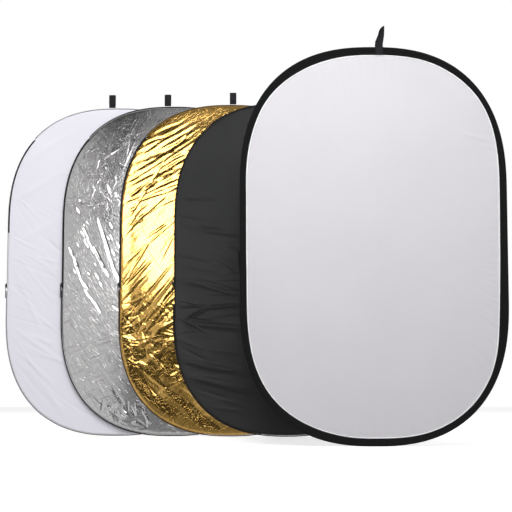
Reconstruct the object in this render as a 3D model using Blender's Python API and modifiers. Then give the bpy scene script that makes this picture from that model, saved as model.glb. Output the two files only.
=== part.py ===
"""A five-surface collapsible reflector set, standing fanned out in a row.

A bare translucent frame disc stands in front. Four more frame discs stand close
together behind it, each inside a zip-on cover. A frame disc is an oval band of
flat spring steel, sewn into a fabric binding, with a thin panel across it.

Units are metres. +Z is up, +X runs along the row and +Y points to its back.
Inside a disc, an "offset" is measured outwards from the frame disc's outline.
"""

import math

import bmesh
import bpy

MM = 0.001

# Frame disc outline: a 60 x 90 cm oval with straight sides and superellipse ends
HALF_WIDTH = 0.300
HALF_HEIGHT = 0.450
END_HEIGHT = 0.325
END_POWER = 2.45
END_SEGMENTS = 17  # odd, so that one segment lies flat at the very top and bottom
STRAIGHT_HALF = HALF_HEIGHT - END_HEIGHT

# Spring band and the crimped ferrule that joins its ends
BAND_OFFSETS = (-2.7 * MM, -1.9 * MM)
BAND_WIDTH = 7.2 * MM
FERRULE_OFFSETS = (-3.4 * MM, -1.2 * MM)
FERRULE_BORE_OFFSETS = (-3.0 * MM, -1.6 * MM)
FERRULE_WIDTH = 8.4 * MM
FERRULE_BORE_WIDTH = 7.8 * MM
FERRULE_SPAN = (-0.056, -0.026)  # heights above the disc's middle

# Binding section, front half only: (offset, distance in front of the disc's middle plane)
BINDING_OUTSIDE = ((-18 * MM, 1.2 * MM), (-5 * MM, 5.6 * MM), (-1.2 * MM, 5.6 * MM), (0, 4.8 * MM))
BINDING_INSIDE = ((-0.7 * MM, 4.7 * MM), (-4.4 * MM, 4.7 * MM), (-18 * MM, 0.6 * MM))

PANEL_OFFSET = -4.5 * MM
PANEL_THICKNESS = 0.6 * MM

# The folded-over end of the front disc's binding tape: (offset, height above the middle) in mm
JOIN_WIDTH = 8.8 * MM
JOIN_OUTLINE = ((0.3, -17.5), (3.6, -18.5), (4.4, -22), (3.6, -44), (0.9, -60), (0.3, -60))

# Cover: two dished sheets, edge piping, and a zip on the upper left
SHEET_EDGE_OFFSET = 2.5 * MM
SHEET_EDGE_FRONT = 0.7 * MM
SHEET_STEPS = ((1.0 * MM, 4.5 * MM), (2.3 * MM, 1.3 * MM))  # inwards, then forwards
SHEET_THICKNESS = 0.5 * MM
SHEET_FRONT = SHEET_EDGE_FRONT + sum(rise for _, rise in SHEET_STEPS)
PIPING_OFFSET = 4.6 * MM
PIPING_RADIUS = 1.7 * MM
COVER_GROWTH = PIPING_OFFSET + PIPING_RADIUS
ZIP_SPAN = (-0.053, 0.364)  # heights above the disc's middle
ZIP_OFFSETS = (2.9 * MM, 5.1 * MM)
ZIP_WIDTH = 7.2 * MM
END_GAP = 2 * MM

# Zip slider, on the straight left side
SLIDER_ABOVE_ZIP_END = 10 * MM
SLIDER_LENGTH = 11 * MM
SLIDER_OFFSETS = (3.2 * MM, 6.7 * MM)
SLIDER_PLATE = 1.2 * MM
SLIDER_WIDTH = 10 * MM
SLIDER_CHANNEL = 8.0 * MM
BRIDGE_OFFSET = 9.6 * MM
BRIDGE_OPENING = (6.7 * MM, 8.7 * MM)
BRIDGE_LENGTH = 8 * MM
BRIDGE_OPENING_LENGTH = 6 * MM
BRIDGE_WIDTH = 1.6 * MM
PULL_OFFSET = 7.7 * MM
PULL_THICKNESS = 1.0 * MM
PULL_WIDTH = 7 * MM
PULL_LENGTH = 34 * MM
PULL_HOLE_WIDTH = 2.8 * MM
PULL_HOLE_LENGTH = 5.6 * MM

# Hang loops of folded webbing
WEBBING_WIDTH = 18 * MM
WEBBING_THICKNESS = 1.2 * MM
LOOP_ROOT_RADIUS = 1.2 * MM
LOOP_AXIS_HEIGHT = 1.5 * MM  # above the rim
LOOP_HALF_DEPTH = 4 * MM
LOOP_STEM = 4 * MM
LOOP_SHOULDER = 9.5 * MM
LOOP_ARC_SEGMENTS = 8
FRONT_LOOP_SHIFT = 0.0157
FRONT_LOOP_HEIGHT = 0.0465

# The front loop's sewn-down tail, seen from the side: (depth, height above the rim) in mm
TAIL_DEPTH = 6.75 * MM
TAIL_OUTLINE = ((-5.95, -1.0), (-5.95, -5.1), (-1.65, -17.6), (-2.35, -17.9), (-6.75, -5.3), (-6.75, -1.0))

# The row. A cover's open length is the stretch of its rim left without piping below the zip
FOLD_GAP = 0.6 * MM
FIRST_STEP_BACK = 0.519  # from the front disc to the black one
STEP_BACK = 0.019  # from each covered disc to the next
COVERED = (
    # name, step to it along -X, front, back and piping finish, loop's shift along X and height, open length
    ("black", 0.1825, "black", "silver", "binding", 0.0, 0.034, 0.045),
    ("gold", 0.1507, "gold", "white", "gold piping", 0.0065, 0.034, 0.004),
    ("silver", 0.1600, "silver", "black", "binding", -0.0155, 0.034, 0.004),
    ("white", 0.1551, "white", "gold", "white piping", -0.0175, 0.038, 0.004),
)

# Colour, roughness, metallic
FINISHES = {
    "black": ((0.02, 0.02, 0.022), 0.55, 0.0),
    "silver": ((0.75, 0.75, 0.76), 0.25, 0.9),
    "gold": ((0.83, 0.62, 0.24), 0.22, 0.9),
    "white": ((0.88, 0.88, 0.92), 0.7, 0.0),
    "diffuser": ((0.78, 0.78, 0.8), 0.6, 0.0),
    "binding": ((0.012, 0.012, 0.013), 0.8, 0.0),
    "webbing": ((0.015, 0.014, 0.018), 0.85, 0.0),
    "gold piping": ((0.2, 0.13, 0.05), 0.7, 0.0),
    "white piping": ((0.6, 0.6, 0.63), 0.8, 0.0),
    "steel": ((0.45, 0.46, 0.48), 0.35, 1.0),
    "ferrule": ((0.6, 0.55, 0.4), 0.3, 1.0),
    "zip": ((0.01, 0.01, 0.011), 0.6, 0.0),
    "slider": ((0.03, 0.03, 0.032), 0.35, 0.6),
}

# How a flat outline drawn in a curve's own XY plane is stood up
FACING_FRONT = (math.pi / 2, 0, 0)  # outline x, y become X, Z
FACING_SIDE = (math.pi / 2, 0, math.pi / 2)  # outline x, y become Y, Z


def clear_scene():
    for old in list(bpy.data.objects):
        bpy.data.objects.remove(old, do_unlink=True)


def new_collection(name):
    made = bpy.data.collections.new(name)
    bpy.context.scene.collection.children.link(made)
    return made


def finish(name):
    """The material of that name, made once."""
    if name in bpy.data.materials:
        return bpy.data.materials[name]
    colour, roughness, metallic = FINISHES[name]
    made = bpy.data.materials.new(name)
    made.use_nodes = True
    shader = made.node_tree.nodes["Principled BSDF"]
    shader.inputs["Base Color"].default_value = (*colour, 1)
    shader.inputs["Roughness"].default_value = roughness
    shader.inputs["Metallic"].default_value = metallic
    return made


def place(name, data, parent, finish_name, location=(0, 0, 0), rotation=(0, 0, 0)):
    """Adds one named piece to the set, in its parent's frame."""
    data.name = name
    data.materials.append(finish(finish_name))
    piece = bpy.data.objects.new(name, data)
    piece.parent = parent
    piece.location = location
    piece.rotation_euler = rotation
    parts.objects.link(piece)
    return piece


def empty(name, location, parent=None):
    made = bpy.data.objects.new(name, None)
    made.location = location
    made.parent = parent
    parts.objects.link(made)
    return made


# Outlines


def round_end(offset):
    """The oval's upper end, from right to left, about the disc's middle."""
    ends = []
    for i in range(END_SEGMENTS + 1):
        turn = math.pi * i / END_SEGMENTS
        across = abs(math.cos(turn)) ** (2 / END_POWER)
        ends.append((math.copysign(across, math.cos(turn)), abs(math.sin(turn)) ** (2 / END_POWER)))
    highest = max(up for _, up in ends)
    width, height = HALF_WIDTH + offset, (END_HEIGHT + offset) / highest
    return [(width * across, STRAIGHT_HALF + height * up) for across, up in ends]


def oval(offset):
    """The whole oval, anticlockwise from the top of its straight right side."""
    upper = round_end(offset)
    return upper + [(-x, -z) for x, z in upper]


def half_oval(offset, side):
    """The oval's upper (side 1) or lower (side -1) half as an open path, anticlockwise."""
    cut = (side * (HALF_WIDTH + offset), side * FOLD_GAP / 2)
    path = [cut] + [(side * x, side * z) for x, z in round_end(offset)]
    return path + [(-cut[0], cut[1])]


def strip(path_at, offsets):
    """A closed outline between two paths at the two offsets."""
    inner, outer = (path_at(offset) for offset in offsets)
    return outer + inner[::-1]


def on_left(points, z):
    """The point of the oval's left side at height z."""
    for (x0, z0), (x1, z1) in zip(points, points[1:]):
        if x0 < 0 and z0 >= z >= z1:
            share = (z0 - z) / (z0 - z1)
            return (x0 + share * (x1 - x0), z)
    raise ValueError("no such height on the left side")


def zip_path(offset):
    """The stretch of the left side that the zip takes, from its top down."""
    low, high = ZIP_SPAN
    points = oval(offset)
    between = [p for p in points if p[0] < 0 and low < p[1] < high]
    return [on_left(points, high), *between, on_left(points, low)]


def piping_path(open_length):
    """The rest of the way round, from below the zip to above it."""
    low, high = ZIP_SPAN[0] - open_length, ZIP_SPAN[1] + END_GAP
    points = oval(PIPING_OFFSET)
    above = [p for p in points[: len(points) // 2] if p[0] > 0 or p[1] > high]
    below = [p for p in points[len(points) // 2 :] if p[0] > 0 or p[1] < low]
    return [on_left(points, low), *below, *above, on_left(points, high)]


def arc(centre, radius, start, end, segments):
    """Points on an arc, angles in degrees, both ends included."""
    turns = [math.radians(start + (end - start) * i / segments) for i in range(segments + 1)]
    return [(centre[0] + radius * math.cos(a), centre[1] + radius * math.sin(a)) for a in turns]


# Shapes


def path_curve(points, closed):
    """A flat curve through the points, with straight runs between them."""
    curve = bpy.data.curves.new("path", "CURVE")
    curve.dimensions = "2D"
    add_run(curve, points, closed)
    return curve


def add_run(curve, points, closed=True):
    run = curve.splines.new("POLY")
    run.points.add(len(points) - 1)
    for point, (x, y) in zip(run.points, points):
        point.co = (x, y, 0, 1)
    run.use_cyclic_u = closed


def flat(outline, thickness, hole=None):
    """A flat outline, with a hole if one is given, as thick as stated."""
    curve = path_curve(outline, closed=True)
    if hole:
        add_run(curve, hole)
    curve.fill_mode = "BOTH"
    curve.extrude = thickness / 2
    return curve


def binding_section():
    """The guide curve for the binding's folded section. Its x runs inwards from the outline."""
    front = [(-offset, ahead) for offset, ahead in BINDING_OUTSIDE]
    back = [(x, -y) for x, y in reversed(front)]
    lining_front = [(-offset, ahead) for offset, ahead in BINDING_INSIDE]
    lining_back = [(x, -y) for x, y in reversed(lining_front)]
    around = lining_front[::-1] + lining_back[::-1] + back[::-1] + front[::-1]
    section = bpy.data.objects.new("binding_section", path_curve(around, closed=True))
    section.hide_render = True
    section.display_type = "WIRE"
    cutters.objects.link(section)
    return section


def binding(path, closed):
    """The binding's section swept along a path on the disc's outline."""
    curve = path_curve(path, closed)
    curve.bevel_mode = "OBJECT"
    curve.bevel_object = bpy.data.objects.get("binding_section") or binding_section()
    curve.use_fill_caps = not closed
    return curve


def cord(path, radius):
    """A round cord along a flat path."""
    curve = path_curve(path, closed=False)
    curve.bevel_depth = radius
    curve.bevel_resolution = 2
    curve.use_fill_caps = True
    return curve


def cover_sheet(side):
    """The outside of a cover sheet: a flat oval face, raised in steps. Side -1 is the front, 1 the back."""
    shape = bmesh.new()
    corners = [shape.verts.new((x, side * SHEET_EDGE_FRONT, z)) for x, z in oval(SHEET_EDGE_OFFSET)]
    face = shape.faces.new(corners[::-side])
    face.normal_update()
    for inwards, forwards in SHEET_STEPS:
        bmesh.ops.inset_region(
            shape, faces=[face], thickness=inwards, depth=forwards, use_boundary=True, use_even_offset=True
        )
    mesh = bpy.data.meshes.new("cover_sheet")
    shape.to_mesh(mesh)
    shape.free()
    return mesh


def thicken(piece, thickness):
    shell = piece.modifiers.new("thickness", "SOLIDIFY")
    shell.thickness = thickness
    shell.use_even_offset = True


def box(size, centre):
    shape = bmesh.new()
    bmesh.ops.create_cube(shape, size=1)
    bmesh.ops.scale(shape, vec=size, verts=shape.verts)
    bmesh.ops.translate(shape, vec=centre, verts=shape.verts)
    mesh = bpy.data.meshes.new("box")
    shape.to_mesh(mesh)
    shape.free()
    return mesh


def tool(name, size, centre, parent):
    """A box that is joined to a piece or cut from it, and isn't a piece itself."""
    made = bpy.data.objects.new(name, box(size, centre))
    made.parent = parent
    made.hide_render = True
    made.display_type = "WIRE"
    cutters.objects.link(made)
    return made


def combine(piece, other, operation):
    step = piece.modifiers.new(other.name, "BOOLEAN")
    step.operation = operation
    step.object = other


def span_box(offsets, width, length):
    """The size and centre of a box on the left rim, between two offsets, about the disc's middle height."""
    low, high = offsets
    return (high - low, width, length), (-HALF_WIDTH - (low + high) / 2, 0, 0)


def rectangle(half_width, low, high):
    return [(-half_width, low), (half_width, low), (half_width, high), (-half_width, high)]


# Pieces of a frame disc


def ferrule(name, disc):
    """A crimped sleeve round the band, on the left side."""
    low, high = FERRULE_SPAN
    size, centre = span_box(FERRULE_OFFSETS, FERRULE_WIDTH, high - low)
    sleeve = place(name, box(size, centre), disc, "ferrule", (0, 0, (low + high) / 2))
    bore_size, bore_centre = span_box(FERRULE_BORE_OFFSETS, FERRULE_BORE_WIDTH, 2 * (high - low))
    combine(sleeve, tool(name + "_bore", bore_size, bore_centre, sleeve), "DIFFERENCE")


def hang_loop(name, disc, shift, rim_height, height):
    """A webbing loop that stands on the rim. Its origin is on the axis that it tips about."""
    half, radius = LOOP_HALF_DEPTH, LOOP_ROOT_RADIUS
    top = height - LOOP_AXIS_HEIGHT - half
    bore = half - WEBBING_THICKNESS
    root, bend = arc((0, 0), radius, 180, 360, 4), LOOP_SHOULDER
    outside = root + [(half, bend), *arc((0, top), half, 0, 180, LOOP_ARC_SEGMENTS), (-half, bend)]
    inside = [(0, LOOP_STEM), (bore, bend), *arc((0, top), bore, 0, 180, LOOP_ARC_SEGMENTS), (-bore, bend)]
    location = (shift, 0, rim_height + LOOP_AXIS_HEIGHT)
    place(name, flat(outside, WEBBING_WIDTH, inside), disc, "webbing", location, FACING_SIDE)


# Discs


def front_disc(name, location):
    """The bare translucent disc, in two halves that fold together about its front face."""
    lower = empty(name + "_disc", location)
    front_face = BINDING_OUTSIDE[1][1]
    upper = empty(name + "_upper", (0, -front_face, 0), lower)
    for half, side, parent, y in (("lower", -1, lower, 0), ("upper", 1, upper, front_face)):
        at = (0, y, 0)
        band = flat(strip(lambda offset: half_oval(offset, side), BAND_OFFSETS), BAND_WIDTH)
        tape = binding(half_oval(0, side)[::-1], closed=False)
        panel = flat(half_oval(PANEL_OFFSET, side), PANEL_THICKNESS)
        place(f"{name}_band_{half}", band, parent, "steel", at, FACING_FRONT)
        place(f"{name}_binding_{half}", tape, parent, "binding", at, FACING_FRONT)
        place(f"{name}_panel_{half}", panel, parent, "diffuser", at, FACING_FRONT)
    ferrule(name + "_band_ferrule", lower)
    join = [(-HALF_WIDTH - offset * MM, z * MM) for offset, z in JOIN_OUTLINE]
    place(name + "_binding_join", flat(join, JOIN_WIDTH), lower, "binding", rotation=FACING_FRONT)
    tail = flat([(y * MM, z * MM) for y, z in TAIL_OUTLINE], WEBBING_WIDTH)
    tail_at = (FRONT_LOOP_SHIFT, front_face, HALF_HEIGHT)
    place(name + "_loop_tail", tail, upper, "webbing", tail_at, FACING_SIDE)
    loop_parent = empty(name + "_upper_middle", (0, front_face, 0), upper)
    hang_loop(name + "_hang_loop", loop_parent, FRONT_LOOP_SHIFT, HALF_HEIGHT, FRONT_LOOP_HEIGHT)


def zip_slider(name, disc):
    """The slider rides over the zip's coil, with a bridge for the pull tab."""
    height = ZIP_SPAN[0] + SLIDER_ABOVE_ZIP_END
    size, centre = span_box(SLIDER_OFFSETS, SLIDER_WIDTH, SLIDER_LENGTH)
    slider = place(name + "_zip_slider", box(size, centre), disc, "slider", (0, 0, height))
    plate_offset = SLIDER_OFFSETS[1] - SLIDER_PLATE
    channel = span_box((0, plate_offset), SLIDER_CHANNEL, 2 * SLIDER_LENGTH)
    bridge = span_box((plate_offset + SLIDER_PLATE / 2, BRIDGE_OFFSET), BRIDGE_WIDTH, BRIDGE_LENGTH)
    opening = span_box(BRIDGE_OPENING, 2 * BRIDGE_WIDTH, BRIDGE_OPENING_LENGTH)
    combine(slider, tool(name + "_slider_channel", *channel, slider), "DIFFERENCE")
    combine(slider, tool(name + "_slider_bridge", *bridge, slider), "UNION")
    combine(slider, tool(name + "_bridge_opening", *opening, slider), "DIFFERENCE")

    hole_top = -PULL_THICKNESS / 2
    tab = rectangle(PULL_WIDTH / 2, -PULL_LENGTH, PULL_THICKNESS / 2)
    hole = rectangle(PULL_HOLE_WIDTH / 2, hole_top - PULL_HOLE_LENGTH, hole_top)
    pivot = (-HALF_WIDTH - PULL_OFFSET, 0, height)
    place(name + "_zip_pull", flat(tab, PULL_THICKNESS, hole), disc, "slider", pivot, FACING_SIDE)


def covered_disc(name, location, front, back, edging, loop_shift, loop_height, open_length):
    """A frame disc inside its zip-on cover."""
    disc = empty(name + "_disc", location)

    inner, outer = (oval(offset) for offset in BAND_OFFSETS)
    place(name + "_spring_band", flat(outer, BAND_WIDTH, inner), disc, "steel", rotation=FACING_FRONT)
    ferrule(name + "_band_ferrule", disc)
    place(name + "_core_binding", binding(oval(0), True), disc, "binding", rotation=FACING_FRONT)
    panel = flat(oval(PANEL_OFFSET), PANEL_THICKNESS)
    place(name + "_core_panel", panel, disc, "diffuser", rotation=FACING_FRONT)

    for label, side, colour in (("front", -1, front), ("back", 1, back)):
        thicken(place(f"{name}_{label}_sheet", cover_sheet(side), disc, colour), SHEET_THICKNESS)
    piping = cord(piping_path(open_length), PIPING_RADIUS)
    place(name + "_piping", piping, disc, edging, rotation=FACING_FRONT)
    coil = flat(strip(zip_path, ZIP_OFFSETS), ZIP_WIDTH)
    place(name + "_zip_chain", coil, disc, "zip", rotation=FACING_FRONT)
    zip_slider(name, disc)
    hang_loop(name + "_hang_loop", disc, loop_shift, HALF_HEIGHT + COVER_GROWTH, loop_height)


def build_row():
    """Stands the discs in a row whose box is centred over the origin."""
    width_behind = sum(step for _, step, *_ in COVERED) + BRIDGE_OFFSET
    depth_behind = FIRST_STEP_BACK + (len(COVERED) - 1) * STEP_BACK + SHEET_FRONT
    x, y = width_behind / 2, (TAIL_DEPTH - depth_behind) / 2
    front_disc("diffuser", (x, y, HALF_HEIGHT))
    y += FIRST_STEP_BACK
    for name, step, *details in COVERED:
        x -= step
        covered_disc(name, (x, y, HALF_HEIGHT + COVER_GROWTH), *details)
        y += STEP_BACK


clear_scene()
parts = new_collection("Collapsible reflector set")
cutters = new_collection("Cutters")
build_row()
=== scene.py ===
"""Looks of a fanned row of five collapsible reflectors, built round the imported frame.

Every oval in the row repeats the frame disc's outline. An "offset" is measured
outwards from that outline, and a "depth" from a disc's middle plane towards the
viewer at -Y. Heights are above the floor unless they are said to be above the
disc's middle. Everything is in metres.
"""

import math
from typing import NamedTuple

import bmesh
import bpy
import numpy as np
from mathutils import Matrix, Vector


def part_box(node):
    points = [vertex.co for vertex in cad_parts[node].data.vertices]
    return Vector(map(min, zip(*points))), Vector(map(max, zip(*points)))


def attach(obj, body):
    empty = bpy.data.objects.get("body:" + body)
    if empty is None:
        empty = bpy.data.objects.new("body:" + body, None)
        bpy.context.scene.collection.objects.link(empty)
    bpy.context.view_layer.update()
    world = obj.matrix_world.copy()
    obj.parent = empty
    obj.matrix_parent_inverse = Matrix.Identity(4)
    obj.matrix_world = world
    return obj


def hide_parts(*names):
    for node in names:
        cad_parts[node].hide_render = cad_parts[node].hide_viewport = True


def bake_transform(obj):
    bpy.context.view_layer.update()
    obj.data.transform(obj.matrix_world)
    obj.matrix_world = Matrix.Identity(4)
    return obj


MM = 0.001

# The oval outline that all the discs share
END_POWER = 2.45
STRAIGHT_HALF = 0.125

# The front disc: widths of its binding tape at equal steps round the rim, from its right side anticlockwise
TAPE_WIDTHS = (17, 15.5, 12, 15.5, 17.5, 20.5, 15, 14, 14.5, 16.5, 15.5, 20, 17, 15, 14, 20)  # mm
BAND_SECTION = ((-2.7, -3.5), (-2.7, 3.5), (-1.9, 3.5), (-1.9, -3.5))  # (offset, depth) corners in mm
FOLD_REACH = 0.07  # a reach on either side of the fold's height
PANEL_EDGE = -5 * MM
PANEL_RINGS = 110
HIDDEN_EDGE = 13 * MM  # width of the panel that the binding hides

# The covered discs
FRONT_DEPTH = 6.3 * MM  # of a stretched cover sheet
SHEET_EDGE = -1.6 * MM
SHEET_RINGS = 150
CORE_RINGS = 24
PIPING_OFFSET = 4.6 * MM
PIPING_RADIUS = 1.7 * MM
PIPING_GAP = 2 * MM  # between the piping's end and the zip
ZIP_SPAN = (-0.053, 0.364)  # heights above the disc's middle


class Cover(NamedTuple):
    """A cover's cloths, its edge thread, the seed of its wrinkles, and what the zip leaves at the edge."""

    front: str
    back: str
    thread: str
    seed: int
    open_length: float  # left without piping below the zip
    dark_from: float  # height at which the zip's dark tape starts
    low_tape: str = "zip_tape"  # finish of the tape below that


COVERS = {
    "black": Cover("black_nylon", "silver_foil", "black_piping", 21, 0.045, 0.40),
    "gold": Cover("gold_foil", "white_nylon", "gold_piping", 22, 0.004, 0.60),
    "silver": Cover("silver_foil", "black_nylon", "black_piping", 23, 0.004, 0.66),
    "white": Cover("white_nylon", "gold_foil", "white_piping", 24, 0.004, 0.56, "pale_tape"),
}


# ---------------------------------------------------------------- outline


def dense_oval(half_width, half_height):
    """The oval as a closed fine polyline, anticlockwise from the middle of its right side."""
    turn = np.linspace(0, math.pi, 1501)
    across = np.sign(np.cos(turn)) * np.abs(np.cos(turn)) ** (2 / END_POWER)
    up = np.abs(np.sin(turn)) ** (2 / END_POWER)
    upper = np.stack((half_width * across, STRAIGHT_HALF + (half_height - STRAIGHT_HALF) * up), 1)
    start = np.array([[half_width, 0.0]])
    return np.vstack((start, upper, -upper, start))


class Rim:
    """A disc's outline, read by the distance along it."""

    def __init__(self, half_width, half_height):
        self.points = dense_oval(half_width, half_height)
        steps = np.hypot(*np.diff(self.points, axis=0).T)
        self.station = np.concatenate(([0.0], np.cumsum(steps)))
        self.length = self.station[-1]
        x, z = self.points.T
        self.area = 0.5 * abs(np.sum(x[:-1] * z[1:] - x[1:] * z[:-1]))

    def at(self, station):
        """Points and outward normals at distances along the outline."""
        reach = 1.5 * MM

        def point(s):
            s = np.mod(s, self.length)
            return np.stack([np.interp(s, self.station, self.points[:, axis]) for axis in (0, 1)], -1)

        tangent = point(station + reach) - point(station - reach)
        tangent /= np.linalg.norm(tangent, axis=-1, keepdims=True)
        return point(station), np.stack((tangent[..., 1], -tangent[..., 0]), -1)

    def left(self, height):
        """The distance along at which the left side passes that height above the disc's middle."""
        on_left = self.points[:, 0] < 0
        heights, stations = self.points[on_left, 1], self.station[on_left]
        return float(np.interp(height, heights[::-1], stations[::-1]))

    def around(self, count):
        return np.arange(count) * self.length / count

    def tape_width(self, stations):
        """The front disc's binding is wider in some places than in others."""
        step = self.length / len(TAPE_WIDTHS)
        place = np.mod(stations, self.length) / step
        whole = np.floor(place).astype(int)
        widths = np.array(TAPE_WIDTHS) * MM
        start, end = widths[whole % len(widths)], widths[(whole + 1) % len(widths)]
        return start + (end - start) * smooth(place - whole)


# ---------------------------------------------------------------- meshes


def linked(name, data):
    """A new object in the scene."""
    made = bpy.data.objects.new(name, data)
    bpy.context.scene.collection.objects.link(made)
    return made


def add_mesh(name, verts, faces, material):
    mesh = bpy.data.meshes.new(name)
    mesh.from_pydata(np.asarray(verts).tolist(), [], np.asarray(faces).tolist())
    mesh.materials.append(material)
    mesh.shade_smooth()
    mesh.update()
    return linked(name, mesh)


def grid_faces(rows, columns, close_rows=False, close_columns=False, flip=False):
    """Quads over a grid of rows x columns vertices."""
    row = np.arange(rows if close_rows else rows - 1)[:, None]
    column = np.arange(columns if close_columns else columns - 1)[None, :]
    next_row, next_column = (row + 1) % rows, (column + 1) % columns
    corners = ((row, column), (row, next_column), (next_row, next_column), (next_row, column))
    quads = np.stack([r * columns + c for r, c in corners], -1).reshape(-1, 4)
    return quads[:, ::-1] if flip else quads


def add_solid(name, verts, faces, material):
    """A mesh with its open ends closed and every face turned outwards."""
    made = add_mesh(name, verts, faces, material)
    shape = bmesh.new()
    shape.from_mesh(made.data)
    open_edges = [e for e in shape.edges if e.is_boundary]
    if open_edges:
        bmesh.ops.holes_fill(shape, edges=open_edges)
        shape.normal_update()
    bmesh.ops.recalc_face_normals(shape, faces=shape.faces)
    shape.to_mesh(made.data)
    shape.free()
    return made


def placed(centre, flat, depth):
    """World points of (x, height above the middle) points at depths from a disc's middle plane."""
    return np.stack((centre[0] + flat[..., 0], centre[1] - depth, centre[2] + flat[..., 1]), -1)


def swept(name, centre, stations, offsets, depths, material, ring=True):
    """A section swept along the rim. offsets and depths are (path, section) arrays, or one section.

    Unless it is a ring all round, its ends are closed.
    """
    points, normals = RIM.at(stations)
    offsets = np.broadcast_to(offsets, (len(stations), np.shape(offsets)[-1]))
    depths = np.broadcast_to(depths, offsets.shape)
    flat = points[:, None] + normals[:, None] * offsets[..., None]
    verts = placed(centre, flat, depths).reshape(-1, 3)
    return add_solid(name, verts, grid_faces(*offsets.shape, ring, True), material)


def oval_sheet(name, centre, rings, edge, turned_edge, relief, material, side):
    """A sheet over the whole oval: rings shrinking to the middle, and a turned-over edge outside them.

    edge is the offset of the outermost flat ring, turned_edge a list of (offset, depth) beyond it,
    relief(x, height, distance from the edge) the depth of the flat part, with that distance from 0 to 1,
    and side 1 for a front sheet and -1 for a back one.
    """
    count = rings + len(turned_edge)
    step = np.arange(-count, count + 1)
    u, v = np.meshgrid(step, step)
    ring = np.maximum(np.abs(u), np.abs(v))
    safe = np.maximum(ring, 1)
    share = np.select(
        [(u == ring) & (v >= 0), v == ring, u == -ring, v == -ring],
        [v / safe, 2 - u / safe, 4 - v / safe, 6 + u / safe],
        8 + v / safe,
    ) / 8
    points, normals = RIM.at(share * RIM.length)
    extra_offset = np.array([edge] * (rings + 1) + [offset for offset, _ in turned_edge])[ring]
    shrink = np.minimum(ring / rings, 1)[..., None]
    flat = (points + normals * extra_offset[..., None]) * shrink
    inside = ring <= rings
    depth = np.array([0.0] * (rings + 1) + [d for _, d in turned_edge])[ring]
    depth[inside] = relief(flat[inside, 0], flat[inside, 1] + centre[2], 1 - shrink[inside, 0])
    faces = grid_faces(2 * count + 1, 2 * count + 1, flip=side > 0)
    return add_mesh(name, placed(centre, flat, side * depth).reshape(-1, 3), faces, material)


# ---------------------------------------------------------------- reliefs


def smooth(t):
    t = np.clip(t, 0, 1)
    return t * t * (3 - 2 * t)


SHEET_SIDES = (-0.3, 0.3)


def zone(value, low, high, soft):
    """1 between low and high, fading to 0 over soft on either side."""
    return smooth((value - low) / soft + 0.5) * smooth((high - value) / soft + 0.5)


def swell(x, z, size, rng, waves=14):
    """Smooth random unevenness of about that size, from about -1 to 1."""
    total = np.zeros_like(x)
    for _ in range(waves):
        angle, phase = rng.uniform(0, 2 * math.pi, 2)
        pace = 2 * math.pi / (size * rng.uniform(0.7, 2.0))
        total += np.cos(pace * (x * math.cos(angle) + z * math.sin(angle)) + phase)
    return total / math.sqrt(waves)


def facets(x, z, across, along, angle, rng, bend):
    """Flat facets between sharp folds, from -1 to 1: random heights on a bent triangle lattice."""
    turned = math.radians(angle)
    u = (x * math.cos(turned) + z * math.sin(turned)) / along
    v = (z * math.cos(turned) - x * math.sin(turned)) / across
    u = u + bend * swell(x, z, 3 * across, rng, 8)
    v = v + bend * swell(x, z, 3 * across, rng, 8)
    size = 64
    table = rng.uniform(-1, 1, (size, size))
    column, row = np.floor(u).astype(int), np.floor(v).astype(int)
    u, v = u - column, v - row
    low = table[column % size, row % size]
    right = table[(column + 1) % size, row % size]
    above = table[column % size, (row + 1) % size]
    high = table[(column + 1) % size, (row + 1) % size]
    first = low + u * (right - low) + v * (above - low)
    second = high + (1 - u) * (above - high) + (1 - v) * (right - high)
    return np.where(u + v < 1, first, second)


def pleats(u, v, pitch, rng):
    """Long folds that run along u, round on top with sharp valleys between them, from 0 to 1."""
    phase = v / pitch + 0.75 * swell(u / 5, v, 5 * pitch, rng, 10)
    fold = np.abs(np.sin(math.pi * phase)) ** 0.9
    strength = smooth(0.5 + 0.5 * swell(u / 4, v, 3 * pitch, rng, 10))
    return fold * (0.35 + 0.65 * strength)


def crease(x, z, start, end, width):
    """A ridge 1 high along a straight line, fading out at its ends."""
    run = np.subtract(end, start)
    length = np.hypot(*run)
    along = ((x - start[0]) * run[0] + (z - start[1]) * run[1]) / length**2
    across = ((x - start[0]) * run[1] - (z - start[1]) * run[0]) / length / width
    return np.exp(-(across**2)) * np.clip(1 - (2 * along - 1) ** 2, 0, None) ** 0.75


class Creases(NamedTuple):
    """A band of straight creases. Angles are in degrees from level, and the rest in metres."""

    count: int
    heights: tuple  # their middles lie between these
    angle: float
    spread: float
    lengths: tuple
    width: float

    def lines(self, rng):
        """Each crease's middle, half its run, its strength and its width."""
        for _ in range(self.count):
            middle = np.array((rng.uniform(*SHEET_SIDES), rng.uniform(*self.heights)))
            turned = math.radians(rng.normal(self.angle, self.spread))
            half = 0.5 * rng.uniform(*self.lengths) * np.array((math.cos(turned), math.sin(turned)))
            strength = rng.choice((-1, 1)) * rng.uniform(0.4, 1)
            yield middle, half, strength, self.width * rng.uniform(0.6, 1.5)

    def on(self, x, z, rng):
        """The ridges and furrows together, from about -1 to 1."""
        total = np.zeros_like(x)
        for middle, half, strength, width in self.lines(rng):
            reach = np.hypot(*half) + 6 * self.width
            near = (np.abs(x - middle[0]) < reach) & (np.abs(z - middle[1]) < reach)
            total[near] += strength * crease(x[near], z[near], middle - half, middle + half, width)
        return total


def held_flat(relief, from_edge, most, dome=0.0):
    """Keeps a relief within its limit, and flat where the sheet is pulled over the rim, on a slight dome."""
    tamed = most * np.tanh(relief / most) * (0.12 + 0.88 * smooth(from_edge / 0.10))
    rolled = 0.05 * MM * smooth(1 - from_edge / 0.015)
    return FRONT_DEPTH + tamed - rolled + dome * (1 - (1 - from_edge) ** 2)


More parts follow.
